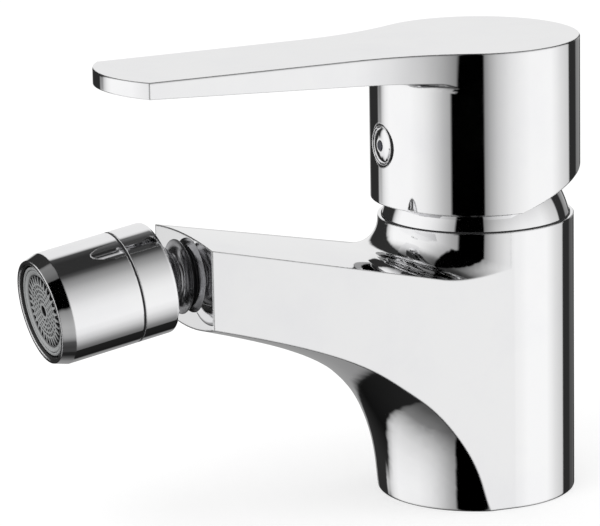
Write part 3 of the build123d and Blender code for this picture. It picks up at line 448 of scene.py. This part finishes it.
# Satin plate over turned brass, with fine tool marks left under it, and matt black rubber
grainyLooks = {
    # The satin plate's greys, 0.34 to 0.5, are far darker than the chrome's 0.93
    "satinPlate": {
        "dark": (0.34, 0.34, 0.35, 1), "light": (0.5, 0.5, 0.51, 1), "grain": (260, 2),
        "grainDepth": 0.000001, "gloss": 0.17, "unevenness": 0.08, "metallic": 1.0,
    },
    "blackRubber": {
        "dark": (0.012, 0.012, 0.013, 1), "light": (0.03, 0.03, 0.032, 1), "grain": (2200, 2),
        "grainDepth": 0.00002, "gloss": 0.4, "unevenness": 0.2, "metallic": 0.0,
    },
}


def grainyMaterial(name, look):
    # One grain drives the tone, the gloss and the surface
    material, make, place = newMaterial(name)
    grain = noise(make, place, *look["grain"])
    tone = make.mix(grain, look["dark"], look["light"])
    roughness = grain * look["unevenness"] + look["gloss"]
    finishMaterial(make, tone, roughness, bump(make, grain, look["grainDepth"]), look["metallic"])
    return material


# Moulded plastics and the ceramic: fine grain in the gloss and the surface, and a faint marbling
moulding = {"grain": (1500, 2), "grainDepth": 0.00001, "unevenness": 0.12, "flow": (90, 3), "marbling": 0.05}
mouldedLooks = {
    "cartridgePlastic": {"colour": (0.72, 0.72, 0.70), "gloss": 0.35},
    "ceramic": {"colour": (0.88, 0.87, 0.84), "gloss": 0.12, "grain": (3000, 2), "marbling": 0.02},
    "greyPlastic": {"colour": (0.33, 0.34, 0.34), "gloss": 0.35},
    "darkPlastic": {"colour": (0.02, 0.02, 0.022), "gloss": 0.4},
    "bluePlastic": {"colour": (0.003, 0.006, 0.028), "gloss": 0.15},
}


def mouldedMaterial(name, look):
    # The tone runs between the colour and the same colour darkened by the marbling
    look = {**moulding, **look}
    material, make, place = newMaterial(name)
    grain = noise(make, place, *look["grain"])
    flow = noise(make, place, *look["flow"])
    dark = tuple(channel * (1 - look["marbling"]) for channel in look["colour"])
    tone = make.mix(flow, (*dark, 1), (*look["colour"], 1))
    roughness = grain * look["unevenness"] + look["gloss"]
    finishMaterial(make, tone, roughness, bump(make, grain, look["grainDepth"]))
    return material


# Machined metals: rings of tool marks along the upright axis, with a little tarnish
turning = {
    "marks": {"Scale": 200.0, "Distortion": 1.5, "Detail": 2.0}, "markDepth": 0.000012, "unevenness": 0.12,
    "tarnish": (120, 4), "tarnishShade": 0.8,
}
turnedLooks = {
    "brass": {"colour": (0.80, 0.58, 0.27), "gloss": 0.2},
    "steel": {"colour": (0.56, 0.57, 0.58), "gloss": 0.22},
}


def turnedMaterial(name, look):
    # The tone runs between the colour and the same colour times the tarnish's shade
    material, make, place = newMaterial(name)
    bands = {"wave_type": "BANDS", "bands_direction": "Z"}
    marks = make.node("ShaderNodeTexWave", bands, {"Vector": place, **turning["marks"]}, "Fac")
    tarnish = noise(make, place, *turning["tarnish"])
    dark = tuple(channel * turning["tarnishShade"] for channel in look["colour"])
    tone = make.mix(tarnish, (*look["colour"], 1), (*dark, 1))
    roughness = marks * turning["unevenness"] + look["gloss"]
    finishMaterial(make, tone, roughness, bump(make, marks, turning["markDepth"]), 1.0)
    return material


chrome = chromeMaterial("chrome", plate["edgeRadius"])
insertPlastic = insertMaterial()
grainy = {name: grainyMaterial(name, look) for name, look in grainyLooks.items()}
moulded = {name: mouldedMaterial(name, look) for name, look in mouldedLooks.items()}
turned = {name: turnedMaterial(name, look) for name, look in turnedLooks.items()}
rubber = grainy["blackRubber"]
brass = turned["brass"]
slotMaterials = {
    "chrome": chrome, "black_rubber": rubber, "cartridge_plastic": moulded["cartridgePlastic"],
    "ceramic": moulded["ceramic"], "brass": brass, "steel": turned["steel"],
    "grey_plastic": moulded["greyPlastic"], "blue_plastic": moulded["bluePlastic"],
}
for entry in frame["record"]["subparts"]:
    materials = nodes[entry["node"]].data.materials
    materials.clear()
    materials.append(slotMaterials[entry["material_slot"]])

# Nodes with a finish of their own
ownMaterials = {
    "front_sleeve": mouthMaterial(),
    "body_casting": chromeMaterial("bodyChrome", plate["bodyEdgeRadius"]),
    "lever_handle": chromeMaterial("leverChrome", plate["leverEdgeRadius"], plate["leverLean"]),
    "diffuser_plate": moulded["darkPlastic"],
    "inlet_screen": moulded["darkPlastic"],
}
for name, material in ownMaterials.items():
    nodes[name].data.materials[0] = material
print("CAD nodes painted")

# Shapes. Outlines and sizes of pieces are in millimetres, centres in metres.
millimetre = 0.001
origin = (0, 0, 0)
upright = (0, 0, 1)
outOfSpout = (0, -1, 0)


def wrapQuads(rows, columns, closedRows, closedColumns):
    # Quads of a grid of points: each joins a point to its neighbours in the next column and row
    index = np.arange(rows * columns).reshape(rows, columns)
    right = np.roll(index, -1, 1)
    quads = np.stack([index, right, np.roll(right, -1, 0), np.roll(index, -1, 0)], -1)
    quads = quads if closedRows else quads[:-1]
    quads = quads if closedColumns else quads[:, :-1]
    return quads.reshape(-1, 4)


def crossDirections(axis):
    # The axis, a direction square to it and to X, and one square to the first two
    axis = np.array(axis)
    across = np.cross(axis, (1.0, 0.0, 0.0))
    return axis, across, np.cross(axis, across)


def spin(profile, centre, axis, closed=True, steps=144):
    # Turned surface. Each profile point (radius, distance along the axis) goes round the axis:
    # centre + distance * axis + radius * (cos(turn) * across + sin(turn) * beyond). A closed profile
    # joins its last point to its first, an open one starts and ends on the axis.
    profile = np.array(profile) * millimetre
    axis, across, beyond = crossDirections(axis)
    turn = np.linspace(0, 2 * np.pi, steps, endpoint=False)[:, None]
    circle = np.cos(turn) * across + np.sin(turn) * beyond
    grid = np.array(centre) + profile[:, 1, None, None] * axis + profile[:, 0, None, None] * circle
    return grid.reshape(-1, 3), wrapQuads(len(profile), steps, closed, True)


def spokes(count, radii, halfWidths, fronts, back, centre, axis):
    # Ribs that stand like spokes: each is a wedge of eight corners at the row's two radii, its two half
    # widths to either side, from the back plane to its front, copied round the axis in equal turns.
    axis, across, beyond = crossDirections(axis)
    turn = (np.arange(count) * 2 * np.pi / count)[:, None, None]
    out = np.cos(turn) * across + np.sin(turn) * beyond
    side = np.cos(turn) * beyond - np.sin(turn) * across
    reach = np.repeat(radii, 4)[None, :, None]
    width = (np.repeat(halfWidths, 4) * np.tile([-1, 1, 1, -1], 2))[None, :, None]
    depth = np.array([back, back, fronts[0], fronts[0], back, back, fronts[1], fronts[1]])[None, :, None]
    corners = np.array(centre) + millimetre * (reach * out + width * side + depth * axis)
    quads = np.array([(0, 1, 2, 3), (4, 7, 6, 5), (0, 4, 5, 1), (1, 5, 6, 2), (2, 6, 7, 3), (3, 7, 4, 0)])
    return corners.reshape(-1, 3), (quads + 8 * np.arange(count)[:, None, None]).reshape(-1, 4)


def addPiece(name, shells, material, body, replaced=(), sharpAngle=32, mergeDistance=1e-7):
    # One mesh of all the shells, with doubles merged and normals outwards. Edges that turn by more
    # than the sharp angle, in degrees, stay sharp.
    points = np.concatenate([shell[0] for shell in shells])
    starts = np.cumsum([0] + [len(shell[0]) for shell in shells[:-1]])
    quads = np.concatenate([shell[1] + start for shell, start in zip(shells, starts)])
    mesh = bpy.data.meshes.new(name)
    mesh.from_pydata(points, [], quads)
    work = bmesh.new()
    work.from_mesh(mesh)
    bmesh.ops.remove_doubles(work, verts=work.verts, dist=mergeDistance)
    bmesh.ops.recalc_face_normals(work, faces=work.faces)
    work.to_mesh(mesh)
    work.free()
    mesh.polygons.foreach_set("use_smooth", np.ones(len(mesh.polygons), dtype=bool))
    mesh.set_sharp_from_angle(angle=math.radians(sharpAngle))
    mesh.materials.append(material)
    piece = bpy.data.objects.new(name, mesh)
    bpy.context.scene.collection.objects.link(piece)
    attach(piece, body)
    if replaced:
        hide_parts(*replaced)
    print("piece made:", name, len(mesh.polygons), "faces")


# Swivel nipple: thin-rimmed dish in front of the spout's end, a neck and the ball. Radius and
# distance from the ball's centre, out of the spout.
nipple = {
    "ballRadius": 9.8,
    "ballFront": 8.8,
    "bore": 3.5,
    "neck": 5.6,
    "tail": (
        (3.5, -21.2), (6.95, -21.2), (6.95, -14.9), (5.9, -14.9), (5.9, -13.5), (6.95, -13.5), (6.95, -11.2),
    ),
    "dish": (
        (7.3, -11.2), (7.8, -10.8), (8.3, -10.35), (8.7, -9.95), (8.92, -9.74), (8.93, -9.64), (8.85, -9.6),
        (8.7, -9.63), (8.1, -9.72), (7.4, -9.72), (6.8, -9.6), (6.3, -9.36), (5.9, -9.0), (5.68, -8.6),
        (5.6, -8.3),
    ),
    "arcPoints": 40,
}


def nippleProfile(settings):
    # The ball's arc runs from the neck to the flat front, each of its points at the ball's radius:
    # radius * cos(angle) from the axis, radius * sin(angle) along it
    radius = settings["ballRadius"]
    start = -math.acos(settings["neck"] / radius)
    end = math.asin(settings["ballFront"] / radius)
    angle = np.linspace(start, end, settings["arcPoints"])
    arc = np.stack([radius * np.cos(angle), radius * np.sin(angle)], -1)
    return [*settings["tail"], *settings["dish"], *arc.tolist(), (settings["bore"], settings["ballFront"])]


addPiece("swivelNipple", [spin(nippleProfile(nipple), outlet["ball"], outOfSpout)], grainy["satinPlate"],
         "body", ["swivel_nipple"])

# Black ring between the dish and the spout's end, a dark piece put as painted shade under the dish's rim.
# Radius and distance from the ball's centre.
rimShadeRing = ((6.9, -11.2), (8.0, -11.2), (8.04, -11.16), (8.0, -11.12), (6.9, -11.12))
addPiece("nippleRimShade", [spin(rimShadeRing, outlet["ball"], outOfSpout)], rubber, "body")

# Bead inside the plated lip of the mouth
mouthBead = {"radius": 11.64, "along": 25.87, "thickness": 0.19, "corners": 14, "sharpAngle": 60}


def beadProfile(settings):
    # Small circle: radius + thickness * cos(angle), distance along + thickness * sin(angle)
    angle = np.linspace(0, 2 * np.pi, settings["corners"], endpoint=False)
    return np.stack([settings["radius"] + settings["thickness"] * np.cos(angle),
                     settings["along"] + settings["thickness"] * np.sin(angle)], -1)


addPiece("mouthBead", [spin(beadProfile(mouthBead), outlet["ball"], barrelDirection)], chrome,
         "outlet_body", sharpAngle=mouthBead["sharpAngle"])

# Aerator insert: a pale shell whose end is rolled in, and a face of rings and ribs with a dimple in
# the middle. Radius and distance from the ball's centre, down the barrel.
aerator = {
    "shell": (
        (9.7, 13.6), (10.8, 13.6), (10.8, 25.1), (10.7, 25.32), (10.5, 25.42), (10.25, 25.42), (10.1, 25.3),
        (10.05, 24.96), (9.95, 24.96), (9.9, 25.2), (9.7, 25.3), (9.35, 25.24), (9.0, 25.06), (8.75, 24.92),
        (8.5, 24.84), (8.45, 24.7), (8.45, 23.7), (9.7, 23.7),
    ),
    "front": 25.1,
    "back": 23.9,
    "rings": ((1.35, 2.1), (2.75, 3.3), (3.95, 4.45), (5.1, 5.55), (6.2, 6.62)),
    "ringBevel": 0.1,
    "ringSteps": 96,
    "ribs": ((12, 2.05, 2.8), (18, 3.25, 4.0), (24, 4.4, 5.15), (30, 5.5, 6.25)),  # count and radii
    "ribHalfWidth": 0.23,
    "ribFront": 25.05,
    "teeth": 30,
    "toothRadii": (6.5, 8.5),
    "toothHalfWidths": (0.42, 0.12),
    "toothFronts": (25.1, 25.02),
    "dimple": ((0, 23.9), (1.4, 23.9), (1.4, 24.45), (0.9, 24.35), (0, 24.3)),
    "dimpleSteps": 48,
}


def ringProfile(inner, outer, back, front, bevel):
    # Rectangle between the two radii and the two planes, bevelled at its front
    return [
        (inner, back), (inner, front - bevel), (inner + bevel, front), (outer - bevel, front),
        (outer, front - bevel), (outer, back),
    ]


def aeratorFace(settings):
    # Rings, rows of ribs between them, teeth outside them and the dimple in the middle
    ball, front, back = outlet["ball"], settings["front"], settings["back"]
    shells = []
    for inner, outer in settings["rings"]:
        profile = ringProfile(inner, outer, back, front, settings["ringBevel"])
        shells.append(spin(profile, ball, barrelDirection, steps=settings["ringSteps"]))
    widths, fronts = (settings["ribHalfWidth"],) * 2, (settings["ribFront"],) * 2
    for count, inner, outer in settings["ribs"]:
        shells.append(spokes(count, (inner, outer), widths, fronts, back, ball, barrelDirection))
    shells.append(spokes(settings["teeth"], settings["toothRadii"], settings["toothHalfWidths"],
                         settings["toothFronts"], back, ball, barrelDirection))
    shells.append(spin(settings["dimple"], ball, barrelDirection, closed=False,
                       steps=settings["dimpleSteps"]))
    return shells


addPiece("aeratorShell", [spin(aerator["shell"], outlet["ball"], barrelDirection)], insertPlastic,
         "outlet_body", ["aerator_housing"])
addPiece("outletFace", aeratorFace(aerator), insertPlastic, "outlet_body", ["outlet_grid"])

# Dark line at the foot of the cap, on the shoulder of the body. Radius and height.
capSeam = ((22.6, 69.0), (23.12, 69.0), (23.12, 69.2), (22.6, 69.2))
addPiece("capSeam", [spin(capSeam, origin, upright)], rubber, "body")

# Index button: a bead round a groove and a dome, with a black ring in the gap round it. Radius and
# distance out of the recess's floor.
button = {
    "centre": (0.0, -0.0244, 0.0883),
    "profile": (
        (0, -1.5), (2.7, -1.5), (2.7, 0), (4.95, 0), (4.95, 1.02), (4.9, 1.14), (4.78, 1.2), (4.64, 1.18),
        (4.55, 1.06), (4.48, 0.86), (4.36, 0.76), (4.22, 0.8), (4.1, 0.92), (3.7, 1.1), (3.1, 1.29),
        (2.4, 1.43), (1.8, 1.5), (1.3, 1.54), (1.2, 1.5), (1.2, 0.95), (0, 0.95),
    ),
    "ring": ((4.97, 0.1), (5.24, 0.1), (5.24, 1.0), (5.12, 1.1), (4.97, 1.0)),
}
addPiece("indexButton", [spin(button["profile"], button["centre"], outOfSpout, closed=False)], chrome,
         "lever_body", ["index_button"])
addPiece("buttonRing", [spin(button["ring"], button["centre"], outOfSpout)], rubber,
         "lever_body")

# Threads in the two inlets and the stud hole. The ridge's corners are shares of the pitch, and it
# grows and fades over its run-out, in turns.
inletBore = {"root": 4.54, "crest": 4.12, "pitch": 1.0, "start": 1.0, "turns": 12}
studBore = {"root": 3.44, "crest": 2.98, "pitch": 1.25, "start": 1.2, "turns": 9}
threads = {
    "inletThreadLeft": {"x": -8.0, "y": -4.5, **inletBore},
    "inletThreadRight": {"x": 8.0, "y": -4.5, **inletBore},
    "studThread": {"x": 0.0, "y": 13.5, **studBore},
}
ridge = {"cornerShares": (-0.46, -0.06, 0.06, 0.46), "runOut": 0.5, "stepsPerTurn": 40, "sharpAngle": 20}


def thread(x, y, root, crest, pitch, start, turns):
    # Screw thread in an upright bore: a ridge of four corners climbs one pitch a turn, its corners
    # scaled towards the root by a share that falls to nothing at both ends.
    turn = np.arange(turns * ridge["stepsPerTurn"] + 1) / ridge["stepsPerTurn"]
    share = np.clip(np.minimum(turn, turns - turn) / ridge["runOut"], 0, 1)[:, None]
    radius = root - np.array([0.0, root - crest, root - crest, 0.0]) * share
    angle = 2 * np.pi * turn[:, None]
    height = start + pitch * turn[:, None] + np.array(ridge["cornerShares"]) * pitch * share
    grid = np.stack([x + radius * np.cos(angle), y + radius * np.sin(angle), height], -1) * millimetre
    return grid.reshape(-1, 3), wrapQuads(len(turn), len(ridge["cornerShares"]), False, True)


for name, bore in threads.items():
    addPiece(name, [thread(**bore)], brass, "body", sharpAngle=ridge["sharpAngle"])

bpy.context.scene.view_settings.view_transform = "Standard"
